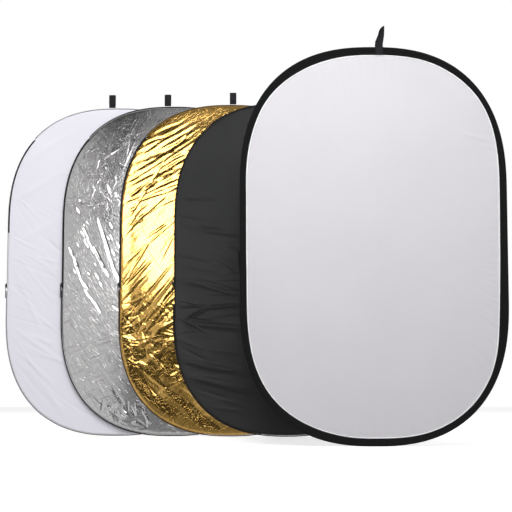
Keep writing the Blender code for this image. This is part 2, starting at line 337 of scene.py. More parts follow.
GOLD_FAN = Creases(70, (0.56, 0.86), 30, 9, (0.04, 0.14), 2.1 * MM)
GOLD_LONG = Creases(44, (0.38, 0.70), 52, 7, (0.07, 0.22), 2.4 * MM)
GOLD_CRUMPLE = (
    (0.26 * MM, Creases(130, (0.21, 0.42), 48, 20, (0.03, 0.09), 1.9 * MM)),
    (0.24 * MM, Creases(110, (0.18, 0.36), -32, 28, (0.02, 0.07), 1.9 * MM)),
    (0.24 * MM, Creases(70, (0.16, 0.34), 8, 18, (0.02, 0.06), 1.9 * MM)),
)
GOLD_FOOT = (
    (0.26 * MM, Creases(60, (0.00, 0.20), -44, 8, (0.05, 0.16), 2.2 * MM)),
    (0.26 * MM, Creases(18, (0.08, 0.22), 31, 9, (0.04, 0.12), 1.9 * MM)),
)


def gold_relief(seed):
    """Foil: a fan of long streaks above, taut in the middle, crumpled below, and long flats at the foot."""

    def relief(x, z, from_edge):
        rng = np.random.default_rng(seed)
        top = zone(z, 0.63, 0.88, 0.14)
        waist = zone(z, 0.32, 0.46, 0.08)
        crumple = zone(z, 0.19, 0.37, 0.06)
        foot = zone(z, -0.1, 0.17, 0.05)
        across = x + 0.3
        fan = z - (0.34 * across + 0.85 * across**2)
        wider_fan = fan + 0.12 * across
        lean = (z - 1.2 * across) / 1.56
        height = 0.2 * MM * swell(x, z, 0.25, rng)
        height += (0.06 + 0.94 * top) * 0.42 * MM * pleats(across, fan, 0.018, rng)
        height += top * 0.40 * MM * pleats(across, wider_fan, 0.031, rng)
        height -= 0.6 * MM * np.abs(GOLD_FAN.on(x, z, rng))
        height -= 0.55 * MM * np.abs(GOLD_LONG.on(x, z, rng))
        height += waist * 0.6 * MM * pleats(across, lean, 0.026, rng)
        height += crumple * 0.34 * MM * facets(x, z, 0.016, 0.042, 47, rng, 0.15)
        for rise, band in GOLD_CRUMPLE:
            height += rise * band.on(x, z, rng)
        height += foot * 0.7 * MM * facets(x, z, 0.030, 0.12, -38, rng, 0.1)
        for rise, band in GOLD_FOOT:
            height += rise * np.abs(band.on(x, z, rng))
        return held_flat(height - 0.5 * MM, from_edge, 2.6 * MM)

    return relief


SILVER_SPECKS = Creases(70, (0.72, 0.92), 42, 24, (0.010, 0.03), 2.2 * MM)
SILVER_SCRATCHES = Creases(30, (0.64, 0.90), 62, 22, (0.05, 0.18), 1.9 * MM)
SILVER_HATCHING = Creases(60, (0.60, 0.76), 20, 50, (0.03, 0.09), 2.2 * MM)
SILVER_DASHES = Creases(100, (0.40, 0.74), -56, 6, (0.010, 0.030), 1.9 * MM)
SILVER_LOW = Creases(22, (0.10, 0.40), -47, 9, (0.04, 0.14), 2.2 * MM)
SILVER_FOOT = Creases(190, (-0.01, 0.085), -35, 40, (0.012, 0.045), 1.9 * MM)
# Long broken folds down the visible side of a silver sheet, from (x, height) to (x, height)
SILVER_STREAKS = (
    ((-0.290, 0.53), (-0.250, 0.44)),
    ((-0.245, 0.57), (-0.175, 0.44)),
    ((-0.205, 0.60), (-0.140, 0.40)),
    ((-0.255, 0.44), (-0.205, 0.35)),
)
STREAK_WIDTH = 2.2 * MM


def silver_relief(seed):
    """Foil: specks and scratches above, then streaks falling to the right, and a crushed foot."""

    def relief(x, z, from_edge):
        rng = np.random.default_rng(seed)
        height = 0.1 * MM * swell(x, z, 0.25, rng)
        height += 0.13 * MM * SILVER_SPECKS.on(x, z, rng)
        height += 0.16 * MM * np.abs(SILVER_SCRATCHES.on(x, z, rng))
        height += 0.13 * MM * SILVER_HATCHING.on(x, z, rng)
        height -= 0.40 * MM * np.abs(SILVER_DASHES.on(x, z, rng))
        for start, end in SILVER_STREAKS:
            run = np.subtract(end, start)
            for share in np.linspace(0, 0.72, 5):
                first = start + share * run + rng.normal(0, STREAK_WIDTH, 2)
                last = first + rng.uniform(0.2, 0.4) * run
                height -= rng.uniform(0.3, 1.0) * MM * crease(x, z, first, last, STREAK_WIDTH)
        height -= 0.35 * MM * np.abs(SILVER_LOW.on(x, z, rng))
        height += 0.55 * MM * SILVER_FOOT.on(x, z, rng)
        return held_flat(height, from_edge, 2.2 * MM, dome=1.5 * MM)

    return relief


def nylon_relief(seed, folds, count, tilt):
    """Plain cloth: a few given folds, and count wrinkles and some finer ones at about tilt degrees."""

    def relief(x, z, from_edge):
        rng = np.random.default_rng(seed)
        height = 0.6 * MM * swell(x, z, 0.25, rng)
        for start, end, width, rise in folds:
            height += rise * crease(x, z, start, end, width)
        for _ in range(count):
            middle = np.array((rng.uniform(*SHEET_SIDES), rng.uniform(0.05, 0.55)))
            turned = math.radians(rng.normal(tilt, 14))
            half = rng.uniform(0.03, 0.10) * np.array((math.cos(turned), math.sin(turned)))
            rise = rng.uniform(-1.5, 1.5) * MM
            height += rise * crease(x, z, middle - half, middle + half, rng.uniform(3, 8) * MM)
        fine = Creases(110, (0.02, 0.66), tilt, 13, (0.06, 0.20), 2.4 * MM)
        height += 1.1 * MM * fine.on(x, z, rng)
        return held_flat(height, from_edge, 2.4 * MM)

    return relief


def panel_relief(x, z, from_edge):
    """The bare panel: taut, with short puckers at the binding, and one wrinkle at its upper right."""
    rng = np.random.default_rng(11)
    inward = 0.29 * from_edge - HIDDEN_EDGE
    around = np.arctan2(z - 0.45, x)
    pull = np.zeros_like(x)
    for count in (61, 89, 127, 173):
        strength = 0.5 + 0.5 * np.cos(3 * around + rng.uniform(0, 2 * math.pi))
        pull += np.cos(count * around + rng.uniform(0, 2 * math.pi)) * strength
    from_binding = np.clip(inward, 0, 1)
    puckers = 0.16 * MM * pull * np.exp(-from_binding / 0.03)
    right = np.exp(-from_binding / 0.018) * (x > 0) * zone(z, 0.42, 0.74, 0.08)
    puckers += 0.30 * MM * right * swell(0.05 * x, z, 0.011, rng)
    puckers += 0.8 * MM * crease(x, z, (0.20, 0.70), (0.27, 0.685), 5 * MM)
    return (puckers + 0.5 * MM * swell(x, z, 0.3, rng)) * smooth(inward / 0.01 + 0.5)


def flat_relief(x, z, from_edge):
    return np.zeros_like(x)


# ---------------------------------------------------------------- materials


class Nodes:
    """A node tree, added to a call at a time."""

    def __init__(self, tree):
        self.tree = tree

    def put(self, socket, value):
        if isinstance(value, bpy.types.NodeSocket):
            self.tree.links.new(value, socket)
        else:
            socket.default_value = value

    def node(self, kind, inputs=None, **settings):
        made = self.tree.nodes.new("ShaderNode" + kind)
        for key, value in settings.items():
            setattr(made, key, value)
        for key, value in (inputs or {}).items():
            self.put(made.inputs[key], value)
        return made

    def math(self, operation, a, b=0.0):
        return self.node("Math", {0: a, 1: b}, operation=operation).outputs[0]


class Graph(Nodes):
    """A material and its nodes."""

    def __init__(self, name, colour, roughness, metallic=0.0, **sockets):
        self.material = bpy.data.materials.new(name)
        self.material.use_nodes = True
        super().__init__(self.material.node_tree)
        self.shader = self.tree.nodes["Principled BSDF"]
        self.set("Base Color", (*colour, 1))
        self.set("Roughness", roughness)
        self.set("Metallic", metallic)
        for socket, value in sockets.items():
            self.set(socket.replace("_", " "), value)
        self.place = self.node("TexCoord").outputs["Object"]

    def set(self, socket, value):
        self.put(self.shader.inputs[socket], value)

    def vector(self, operation, a, b):
        made = self.node("VectorMath", {0: a, 1: b}, operation=operation)
        return made.outputs["Value" if operation == "DOT_PRODUCT" else "Vector"]

    def mapped(self, vector, scale, rotation=(0, 0, 0)):
        """Turned by rotation in degrees, and then scaled along the turned axes."""
        turned = self.node("Mapping", {"Vector": vector, "Rotation": [math.radians(a) for a in rotation]})
        return self.node("Mapping", {"Vector": turned.outputs["Vector"], "Scale": scale}).outputs["Vector"]

    def noise(self, vector, scale, detail=3.0, roughness=0.5, output="Fac"):
        inputs = {"Vector": vector, "Scale": scale, "Detail": detail, "Roughness": roughness}
        return self.node("TexNoise", inputs).outputs[output]

    def wave(self, vector, scale, direction, distortion):
        inputs = {"Vector": vector, "Scale": scale, "Distortion": distortion}
        return self.node("TexWave", inputs, bands_direction=direction).outputs["Fac"]

    def ramp(self, value, *stops):
        """A value turned to a grey by (position, grey) stops."""
        made = self.node("ValToRGB", {"Fac": value})
        elements = made.color_ramp.elements
        for element, (position, grey) in zip(elements, stops):
            element.position = position
            element.color = (grey, grey, grey, 1)
        return made.outputs["Color"]

    def tint(self, value, start, end, first, second, most=1.0):
        """Colours the surface from first at the value start to second, or the share most of it, at end."""
        made = self.node("Mix", data_type="RGBA")
        factor = self.ramp(value, (start, 0.0), (end, most))
        for socket, given in ((0, factor), (6, (*first, 1)), (7, (*second, 1))):
            self.put(made.inputs[socket], given)
        self.set("Base Color", made.outputs[2])

    def bump(self, height, distance=1.0, strength=1.0):
        """Shades the surface as if it rose by height times distance, in metres."""
        made = self.node("Bump", {"Height": height, "Distance": distance, "Strength": strength})
        self.set("Normal", made.outputs["Normal"])


def weave(graph, pitch, strength, turn=0):
    """The bump of plain-woven cloth, with threads pitch apart."""
    at = graph.mapped(graph.place, (1, 1, 1), (0, turn, 0))
    scale = math.pi / 6 / pitch
    warp = graph.wave(at, scale, "X", 0.3)
    weft = graph.wave(at, scale, "Z", 0.3)
    graph.bump(graph.math("MULTIPLY", warp, weft), pitch * 0.25, strength)


def foil_tilts(graph, scale, tilt, rotation):
    """A height, in metres, of flat shards that each lean their own way."""
    middle = (0.5, 0.5, 0.5)
    warp = graph.vector("SUBTRACT", graph.noise(graph.place, 22.0, 2.0, 0.5, "Color"), middle)
    bent = graph.vector("MULTIPLY", warp, (0.03, 0.03, 0.03))
    at = graph.mapped(graph.vector("ADD", graph.place, bent), scale, rotation)
    cells = graph.node("TexVoronoi", {"Vector": at, "Scale": 1.0, "Randomness": 1.0})
    lean = graph.vector("SUBTRACT", cells.outputs["Color"], middle)
    along = graph.vector("DOT_PRODUCT", graph.vector("SUBTRACT", at, cells.outputs["Position"]), lean)
    return graph.math("MULTIPLY", along, 2 * tilt / max(scale))


def foil(name, colour, shade, roughness, lean, tilt):
    """Crinkled metal foil on cloth.

    shade is the darker colour painted in streaks along its crinkles, as painted shade;
    lean is the way these streaks run in degrees, and tilt how steep its finest crinkles are.
    """
    graph = Graph(name, colour, roughness, 1.0)
    # Painted shade: the colour darkens in streaks along the crinkles, which are rougher too.
    along = graph.noise(graph.mapped(graph.place, (0.25, 1, 4), (0, lean, 0)), 60.0, 4.0, 0.6)
    across = graph.noise(graph.mapped(graph.place, (0.3, 1, 4), (0, lean + 78, 0)), 60.0, 4.0, 0.6)
    crease_shade = graph.math("MAXIMUM", along, across)
    graph.tint(crease_shade, 0.55, 0.72, colour, shade, 0.8)
    shards = foil_tilts(graph, (35, 60, 170), tilt, (0, lean, 0))
    finer = foil_tilts(graph, (150, 90, 100), 0.6 * tilt, (0, lean + 80, 0))
    graph.bump(graph.math("ADD", shards, finer))
    graph.set("Roughness", graph.ramp(crease_shade, (0.45, roughness), (0.70, roughness * 1.5)))
    return graph.material


def nylon(name, colour, roughness, cloud, sheen):
    """Plain thin cloth, uneven in colour by the share cloud."""
    graph = Graph(name, colour, roughness, **{"Sheen_Weight": sheen, "Sheen_Roughness": 0.4})
    patch = graph.noise(graph.place, 5.0, 5.0, 0.6)
    darker = tuple(c * (1 - cloud) for c in colour)
    graph.tint(patch, 0.3, 0.7, colour, darker)
    weave(graph, 0.35 * MM, 0.5)
    return graph.material


def tape(name, colour, roughness, pitch, turn=45):
    """Woven tape or webbing, with ribs across it."""
    graph = Graph(name, colour, roughness, **{"Specular_IOR_Level": 0.3})
    fuzz = graph.noise(graph.place, 900.0, 3.0)
    lighter = tuple(min(1.0, 1.6 * c + 0.002) for c in colour)
    graph.tint(fuzz, 0.45, 0.75, colour, lighter)
    weave(graph, pitch, 0.8, turn)
    return graph.material


def thread(name, colour):
    """Wrapped sewing thread, with painted shade between its strands."""
    graph = Graph(name, colour, 0.6)
    strands_and_groove_shade = graph.noise(graph.mapped(graph.place, (1, 1, 4)), 700.0, 2.0)
    # Painted shade: the colour darkens in the grooves between the strands.
    darker = tuple(0.45 * c for c in colour)
    graph.tint(strands_and_groove_shade, 0.35, 0.65, darker, colour)
    graph.bump(strands_and_groove_shade, 0.3 * MM, 0.7)
    return graph.material


def metal(name, colour, roughness, grain, metallic=1.0):
    """Bare or enamelled metal, its grain stretched by a scale along each axis."""
    graph = Graph(name, colour, roughness, metallic)
    streak = graph.noise(graph.mapped(graph.place, grain), 60.0, 4.0)
    darker = tuple(0.7 * c for c in colour)
    graph.tint(streak, 0.35, 0.7, colour, darker)
    graph.set("Roughness", graph.ramp(streak, (0.3, roughness * 0.8), (0.7, min(1.0, roughness * 1.35))))
    graph.bump(streak, 0.05 * MM, 0.5)
    return graph.material


def make_materials():
    """The finish of every slot in the record, and of the parts of a slot that differ in colour."""
    return {
        "binding_fabric": tape("binding tape", (0.006, 0.006, 0.0065), 0.8, 0.7 * MM),
        "webbing": tape("loop webbing", (0.018, 0.017, 0.020), 0.75, 1.1 * MM, 0),
        "diffuser_nylon": nylon("diffuser nylon", (0.655, 0.64, 0.67), 0.8, 0.04, 0.05),
        # The hem's near-white colour is a painted highlight along the binding's inner edge.
        "hem": nylon("hem thread", (0.95, 0.95, 0.96), 0.6, 0.02, 0.0),
        "black_nylon": nylon("black nylon", (0.0075, 0.0079, 0.0079), 0.36, 0.25, 0.02),
        "white_nylon": nylon("white nylon", (0.82, 0.81, 0.88), 0.8, 0.02, 0.2),
        # Each foil's second colour is the painted shade in streaks along its crinkles.
        "gold_foil": foil("gold foil", (0.92, 0.57, 0.165), (0.55, 0.28, 0.05), 0.05, 48, 0.005),
        "silver_foil": foil("silver foil", (0.84, 0.83, 0.83), (0.58, 0.56, 0.57), 0.07, -56, 0.0028),
        "black_piping": thread("black overlock thread", (0.025, 0.025, 0.027)),
        "gold_piping": thread("brown overlock thread", (0.16, 0.10, 0.035)),
        "white_piping": thread("grey overlock thread", (0.42, 0.42, 0.45)),
        "zip_tape": tape("zip tape", (0.012, 0.012, 0.013), 0.7, 0.6 * MM),
        "pale_tape": tape("pale zip tape", (0.62, 0.62, 0.66), 0.75, 0.6 * MM),
        "zip_metal": metal("black enamel", (0.035, 0.035, 0.037), 0.35, (1, 1, 1), 0.3),
        "spring_steel": metal("spring steel", (0.36, 0.38, 0.42), 0.32, (1, 20, 1)),
        "ferrule_metal": metal("crimped brass", (0.62, 0.50, 0.28), 0.35, (1, 1, 8)),
    }


# ---------------------------------------------------------------- front disc


def put(piece, slot, body, *nodes):
    """Gives a rigid piece its body, and hides the CAD nodes that it stands for."""
    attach(piece, body)
    if nodes:
        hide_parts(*nodes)


def across_fold(piece, slot, *nodes):
    """Bakes a piece of the front disc's placement into its mesh, and hides the CAD nodes that it stands for.
    """
    start, end = (0, 0, FOLD_HEIGHT - FOLD_REACH), (0, 0, FOLD_HEIGHT + FOLD_REACH)
    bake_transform(piece)
    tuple(start)
    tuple(end)
    if nodes:
        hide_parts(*nodes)


# The folded tape's outside as (offset, depth) in mm, from the front lip to the middle plane, and its inside
TAPE_OUTSIDE = (
    *((-18.0, 0.75), (-17.6, 1.35), (-15.5, 1.75), (-12, 2.7), (-8.5, 4.0), (-5.6, 5.2)),
    *((-3.4, 5.6), (-1.6, 5.3), (-0.5, 4.3), (0.0, 2.6), (0.05, 0)),
)
TAPE_INSIDE = ((-6, 3.6), (-12, 1.7), (-16.5, 0.5))
TAPE_REACH = 18 * MM
TAPE_SHOULDER = -5.6 * MM  # offset beyond which the tape isn't widened


def binding_sections(stations):
    """Offsets and depths of the binding's section at each station, as wide as it is there, with ripples."""
    rng = np.random.default_rng(5)
    turn = 2 * math.pi * stations / RIM.length
    ripple = np.zeros_like(turn)
    for count in (53, 97, 151, 211):
        ripple += rng.uniform(0.5, 1) * np.cos(count * turn + rng.uniform(0, 6.28))
    wander = sum(np.cos(count * turn + rng.uniform(0, 6.28)) for count in (3, 7, 17)) / 3
    offsets, depths = np.array(TAPE_INSIDE + TAPE_OUTSIDE).T * MM
    share = np.clip(-offsets / TAPE_REACH, 0, 1)
    widen = (RIM.tape_width(stations) + TAPE_SHOULDER) / (TAPE_REACH + TAPE_SHOULDER)
    widened = TAPE_SHOULDER + (offsets - TAPE_SHOULDER) * widen[:, None]
    offset = np.where(offsets < TAPE_SHOULDER, widened, offsets) + share**2 * 0.5 * MM * wander[:, None]
    outside = depths > 0.6 * MM
    depth = depths + 0.16 * MM * ripple[:, None] * outside * np.sin(math.pi * share)
    return np.hstack((offset, offset[:, -2::-1])), np.hstack((depth, -depth[:, -2::-1]))


def stitches(name, centre, material):
    """Separate stitches along both lips of the binding."""
    pitch, length, radius, depth = 4.2 * MM, 3.2 * MM, 0.32 * MM, 1.72 * MM
    from_lip, sides = 2.6 * MM, 6
    stations = (np.arange(int(RIM.length / pitch)) + 0.5) * pitch
    points, normals = RIM.at(stations)
    tangents = np.stack((-normals[:, 1], normals[:, 0]), -1)
    middles = points - normals * (RIM.tape_width(stations) - from_lip)[:, None]
    bar = np.array([(-0.5, 0.25), (-0.32, 0.85), (0, 1), (0.32, 0.85), (0.5, 0.25)])
    turns = 2 * math.pi * np.arange(sides) / sides
    along = middles[:, None] + tangents[:, None] * (bar[:, 0] * length)[None, :, None]
    thick = bar[:, 1, None] * radius
    flat = along[:, :, None] + normals[:, None, None] * (thick * np.cos(turns))[None, :, :, None]
    rise = np.broadcast_to(depth + thick * np.sin(turns), flat.shape[:3])
    verts = np.concatenate([placed(centre, flat, side * rise) for side in (1, -1)]).reshape(-1, 3)
    ring = grid_faces(len(bar), sides, False, True)
    starts = np.arange(2 * len(stations)) * len(bar) * sides
    return add_solid(name, verts, (starts[:, None, None] + ring).reshape(-1, 4), material)


def front_disc(centre, finishes):
    """The bare disc: panel, folded binding, steel band and ferrule."""
    around = RIM.around(1500)
    offsets, depths = binding_sections(around)
    binding = swept("diffuser_binding", centre, around, offsets, depths, finishes["binding_fabric"])
    across_fold(binding, "binding_fabric", "diffuser_binding_lower", "diffuser_binding_upper")

    offsets, depths = np.array(BAND_SECTION).T * MM
    band = swept("diffuser_band", centre, RIM.around(900), offsets, depths, finishes["spring_steel"])
    across_fold(band, "spring_steel", "diffuser_band_lower", "diffuser_band_upper")
    sleeve = ferrule("diffuser_ferrule", centre, "diffuser_band_ferrule", finishes["ferrule_metal"])
    across_fold(sleeve, "ferrule_metal", "diffuser_band_ferrule")

    cloth = finishes["diffuser_nylon"]
    panel = oval_sheet("diffuser_panel", centre, PANEL_RINGS, PANEL_EDGE, [], panel_relief, cloth, 1)
    across_fold(panel, "diffuser_nylon", "diffuser_panel_lower", "diffuser_panel_upper")

    seam = stitches("diffuser_seam", centre, finishes["black_piping"])
    across_fold(seam, "binding_fabric")
    across_fold(panel_hem_highlight(centre, finishes["hem"]), "diffuser_nylon")
    join = binding_join(centre, finishes["binding_fabric"])
    across_fold(join, "binding_fabric", "diffuser_binding_join")


def left_span(centre, node):
    """Where a node on the rim's left side starts at its top and ends at its foot, along it."""
    low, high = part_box(node)
    return RIM.left(high.z - centre[2]), RIM.left(low.z - centre[2])


def panel_hem_highlight(centre, material):
    """The panel's turned hem, a narrow bead just inside the binding, far paler than the panel: its brightness
    is a painted highlight along the binding's inner edge.
    """
    half_width, half_depth = 1.3 * MM, 0.8 * MM
    turns = 2 * math.pi * np.arange(8) / 8
    stations = RIM.around(900)
    offsets = -RIM.tape_width(stations)[:, None] - half_width + half_width * np.cos(turns)
    return swept("diffuser_hem_highlight", centre, stations, offsets, half_depth * np.sin(turns), material)


def ferrule(name, centre, node, material):
    """A sleeve crimped round the band, pinched in three places."""
    start, end = left_span(centre, node)
    stations = np.linspace(start, end, 49)
    section = 2 * math.pi * (np.arange(24) + 0.5) / 24
    across, through = (np.sign(part) * np.abs(part) ** 0.4 for part in (np.cos(section), np.sin(section)))
    share = (stations - start) / (end - start)
    pinch = 1 - 0.16 * sum(np.exp(-(((share - at) / 0.06) ** 2)) for at in (0.2, 0.5, 0.8))
    offsets = -2.3 * MM + across * 1.1 * MM * pinch[:, None]
    return swept(name, centre, stations, offsets, through * 4.1 * MM, material, ring=False)


def binding_join(centre, material):
    """The end of the binding tape, folded over on the left side, thick at its top and tapering down."""
    stations = np.linspace(*left_span(centre, "diffuser_binding_join"), 60)
    share = (stations - stations[0]) / (stations[-1] - stations[0])
    proud = (smooth(share / 0.08) * (1 - 0.75 * smooth((share - 0.25) / 0.75))) * 3.0 * MM
    section = np.linspace(-1, 1, 15)
    shape = np.sqrt(np.clip(1 - np.abs(section) ** 2.6, 0, 1))
    outer = 0.35 * MM + proud[:, None] * shape
    inner = np.full_like(outer, 0.2 * MM)
    depths = np.broadcast_to(section * 4.6 * MM, outer.shape)
    offsets = np.hstack((outer, inner[:, 1:-1]))
    depths = np.hstack((depths, depths[:, -2:0:-1]))
    return swept("diffuser_binding_join_fold", centre, stations, offsets, depths, material, ring=False)


# ---------------------------------------------------------------- loops


def strap(name, path, width, thickness, material, twist=None):
    """Flat webbing along a path in the YZ plane, given as (y, z) points, with soft edges."""
    path = np.asarray(path)
    run = np.gradient(path, axis=0)
    run /= np.linalg.norm(run, axis=1, keepdims=True)
    normal = np.stack((run[:, 1], -run[:, 0]), 1)
    half = np.linspace(-1, 1, 9)
    thick = np.sqrt(np.clip(1 - np.abs(half) ** 6, 0.02, 1)) * thickness / 2
    across = np.concatenate((half, half[::-1])) * width / 2
    lift = np.concatenate((thick, -thick[::-1]))
    verts = np.empty((len(path), len(across), 3))
    verts[..., 0] = across
    verts[..., 1:] = path[:, None] + normal[:, None] * lift[None, :, None]
    if twist is not None:
        verts = twist(verts)
    return add_solid(name, verts.reshape(-1, 3), grid_faces(*verts.shape[:2], False, True), material)


def loop_path(stem, half_depth, height, count=60):
    """A narrow upright loop from the rim, over its top and back down, as (y, z) points above its axis."""
    up = np.linspace(0, 1, count)
    spread = half_depth * smooth(up * 2.2)
    leg = np.stack((-spread - 0.2 * MM, stem + up * (height - half_depth - stem)), 1)
    turn = np.linspace(math.pi, 0, 19)[1:-1]
    top = np.stack((half_depth * np.cos(turn), height - half_depth + half_depth * np.sin(turn)), 1)
    return np.vstack((leg, top, (leg * (-1, 1))[::-1]))


def hang_loop(name, node, body, material, turn=0.0, lean=0.0, bow=0.0):
    """A webbing loop on a rim. At its top it is twisted by turn degrees, and leans by lean along X.

    bow is how far it bends to the right half-way up. A twisted top slants too.
    """
    low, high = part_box(node)
    height = high.z - low.z
    slant = 0.02 * turn
    half_depth = (high.y - low.y) / 2 - 0.6 * MM

    def twist(verts):
        share = smooth(verts[..., 2] / height)
        angle = math.radians(turn) * share
        x, y = verts[..., 0].copy(), verts[..., 1].copy()
        bend = bow * np.sin(math.pi * verts[..., 2] / height)
        verts[..., 0] = x * np.cos(angle) - y * np.sin(angle) + lean * share + bend
        verts[..., 1] = x * np.sin(angle) + y * np.cos(angle)
        verts[..., 2] += slant * share * (verts[..., 0] - lean * share)
        return verts

    path = loop_path(0.9 * MM, half_depth, height - 0.7 * MM)
    made = strap(name, path, high.x - low.x, 1.25 * MM, material, twist)
    made.location = ((low.x + high.x) / 2, (low.y + high.y) / 2, low.z)
    put(made, "webbing", body, node)


# The sewn-down strap's end as (depth, height above its top) in mm, over the edge and down the binding
TAIL_LINE = ((-6.65, -0.8), (-6.5, -3), (-6.3, -5), (-5.9, -6.6), (-4.5, -11), (-2.9, -15.8), (-2.2, -17.6))


def loop_tail(material):
    """The strap's end, sewn down over the front of the binding."""
    low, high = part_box("diffuser_loop_tail")
    share = np.linspace(0, 1, len(TAIL_LINE))
    depth, height = np.array(TAIL_LINE).T * MM
    steps = np.linspace(0, 1, 40)
    path = np.stack((np.interp(steps, share, depth), np.interp(steps, share, height)), 1)
    tail = strap("loop_tail", path, high.x - low.x, 0.9 * MM, material)
    tail.location = ((low.x + high.x) / 2, DISCS["diffuser"].y, high.z + 1.0 * MM)
    put(tail, "webbing", "diffuser_upper", "diffuser_loop_tail")


# ---------------------------------------------------------------- covered discs


# A sheet's turned-over edge, and the front half of the zip tape's outside, as (offset, depth) in mm
TURNED_EDGE = ((-0.2, 6.15), (0.9, 5.6), (1.8, 4.5), (2.3, 3.2), (2.55, 1.8), (2.6, 0.6))
ZIP_OUTSIDE = ((-1.4, 6.75), (-1.2, 7), (0.3, 6.75), (1.5, 6.1), (2.5, 4.9), (3.1, 3.3), (3.2, 1.6), (3.2, 0))


def cover_sheet(name, label, side, cloth, relief, centre, material):
    """One face of a cover, rolled over the rim to the middle plane."""
    turned = [(offset * MM, depth * MM) for offset, depth in TURNED_EDGE]
    sheet_name = f"{name}_{label}_cloth"
    piece = oval_sheet(sheet_name, centre, SHEET_RINGS, SHEET_EDGE, turned, relief, material, side)
    put(piece, cloth, f"{name}_disc", f"{name}_{label}_sheet")


def piping(name, centre, open_length, material, slot):
    """The overlocked edge, a cord wrapped in slanting thread."""
    start = RIM.left(ZIP_SPAN[0] - open_length)
    end = RIM.left(ZIP_SPAN[1] + PIPING_GAP) + RIM.length
    stations = np.linspace(start, end, 3000)
    turns = 2 * math.pi * np.arange(8) / 8
    wraps = np.cos(2 * math.pi * stations[:, None] / (2.6 * MM) + turns)
    taper = np.sqrt(np.clip(np.minimum(stations - start, end - stations) / (2 * MM), 0.05, 1))[:, None]
    radius = (PIPING_RADIUS - 0.18 * MM + 0.17 * MM * wraps) * taper
    offsets = PIPING_OFFSET + radius * np.cos(turns)
    depths = radius * np.sin(turns)
    piece = swept(f"{name}_edge_cord", centre, stations, offsets, depths, material, ring=False)
    put(piece, slot, f"{name}_disc", f"{name}_piping")


def zip_tapes(name, centre, cover, finishes):
    """The zip's woven tape, lapped over both faces at the rim, in an upper and a lower stretch."""
    low, high = ZIP_SPAN
    half = np.array(ZIP_OUTSIDE)
    outer = np.vstack((half, (half * (1, -1))[-2::-1]))
    inner = outer * (1, 0.955) - (0.35, 0)
    offsets, depths = np.vstack((outer, inner[::-1])).T * MM
    split = min(max(cover.dark_from - centre[2], low + 0.01), high)
    stretches = (("upper", split, high, "zip_tape"), ("lower", low, split, cover.low_tape))
    for label, bottom, top, finish in stretches:
        count = max(12, int((top - bottom) / 2.5 / MM))
        stations = np.linspace(RIM.left(top), RIM.left(bottom), count)
        tape_name = f"{name}_zip_tape_{label}"
        piece = swept(tape_name, centre, stations, offsets, depths, finishes[finish], ring=False)
        put(piece, "zip_tape", f"{name}_disc")


def zip_coil(name, centre, material):
    """The closed coil: one flattened helix along the zip."""
    low, high = ZIP_SPAN
    end_gap, pitch = 3 * MM, 1.5 * MM
    stations = np.linspace(RIM.left(high - end_gap), RIM.left(low + end_gap), 2200)
    turn = 2 * math.pi * (stations - stations[0]) / pitch
    points, normals = RIM.at(stations)
    offset = 4.25 * MM + 0.55 * MM * np.cos(turn)
    depth = 2.7 * MM * np.sin(turn)
    line = placed(centre, points + normals * offset[:, None], depth)
    piece = tube(f"{name}_zip_coil", line, 0.33 * MM, 5, material)
    put(piece, "zip_tape", f"{name}_disc", f"{name}_zip_chain")


def tube(name, line, radius, sides, material):
    """A round thread along a line of points."""
    tangent = np.gradient(line, axis=0)
    tangent /= np.linalg.norm(tangent, axis=1, keepdims=True)
    side = np.cross(tangent, (0.3, 0.1, 1.0))
    side /= np.linalg.norm(side, axis=1, keepdims=True)
    up = np.cross(side, tangent)
    turns = 2 * math.pi * np.arange(sides) / sides
    ring = radius * (np.cos(turns)[:, None] * side[:, None] + np.sin(turns)[:, None] * up[:, None])
    verts = (line[:, None] + ring).reshape(-1, 3)
    return add_solid(name, verts, grid_faces(len(line), sides, False, True), material)


def softened(name, node, width, material):
    """A copy of a CAD piece with its edges rounded."""
    shape = bmesh.new()
    shape.from_mesh(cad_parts[node].data)
    bmesh.ops.remove_doubles(shape, verts=shape.verts, dist=0.01 * MM)
    bmesh.ops.dissolve_limit(shape, angle_limit=math.radians(1), verts=shape.verts, edges=shape.edges)
    rounding = {"offset": width, "segments": 3, "profile": 0.5, "affect": "EDGES", "clamp_overlap": True}
    bmesh.ops.bevel(shape, geom=list(shape.edges), **rounding)
    mesh = bpy.data.meshes.new(name)
    shape.to_mesh(mesh)
    shape.free()
    mesh.materials.append(material)
    mesh.shade_smooth()
    return linked(name, mesh)


def covered_disc(name, cover, centre, finishes):
    """One disc in its zip-on cover."""
    for label, side, cloth, further in (("front", 1, cover.front, 0), ("back", -1, cover.back, 10)):
        relief = RELIEFS[cloth](cover.seed + further)
        cover_sheet(name, label, side, cloth, relief, centre, finishes[cloth])
    piping(name, centre, cover.open_length, finishes[cover.thread], cover.thread)
    zip_tapes(name, centre, cover, finishes)
    zip_coil(name, centre, finishes["zip_tape"])
    cloth = finishes["diffuser_nylon"]
    core = oval_sheet(f"{name}_core_cloth", centre, CORE_RINGS, PANEL_EDGE, [], flat_relief, cloth, 1)
    put(core, "diffuser_nylon", f"{name}_disc", f"{name}_core_panel")
    for piece, node, body, width in (
        ("slider_body", "zip_slider", "slider", 0.35 * MM),
        ("pull_tab", "zip_pull", "pull", 0.3 * MM),
    ):
        metal_part = softened(f"{name}_{piece}", f"{name}_{node}", width, finishes["zip_metal"])
        put(metal_part, "zip_metal", f"{name}_{body}", f"{name}_{node}")
    hang_loop(f"{name}_loop", f"{name}_hang_loop", f"{name}_loop", finishes["webbing"])
    kept = {"spring_band": "spring_steel", "band_ferrule": "ferrule_metal", "core_binding": "binding_fabric"}
    for node, slot in kept.items():
        dress(f"{name}_{node}", finishes[slot])


def dress(node, material):
    """Gives a CAD node that is kept its finish."""
    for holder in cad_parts[node].material_slots:
        holder.material = material


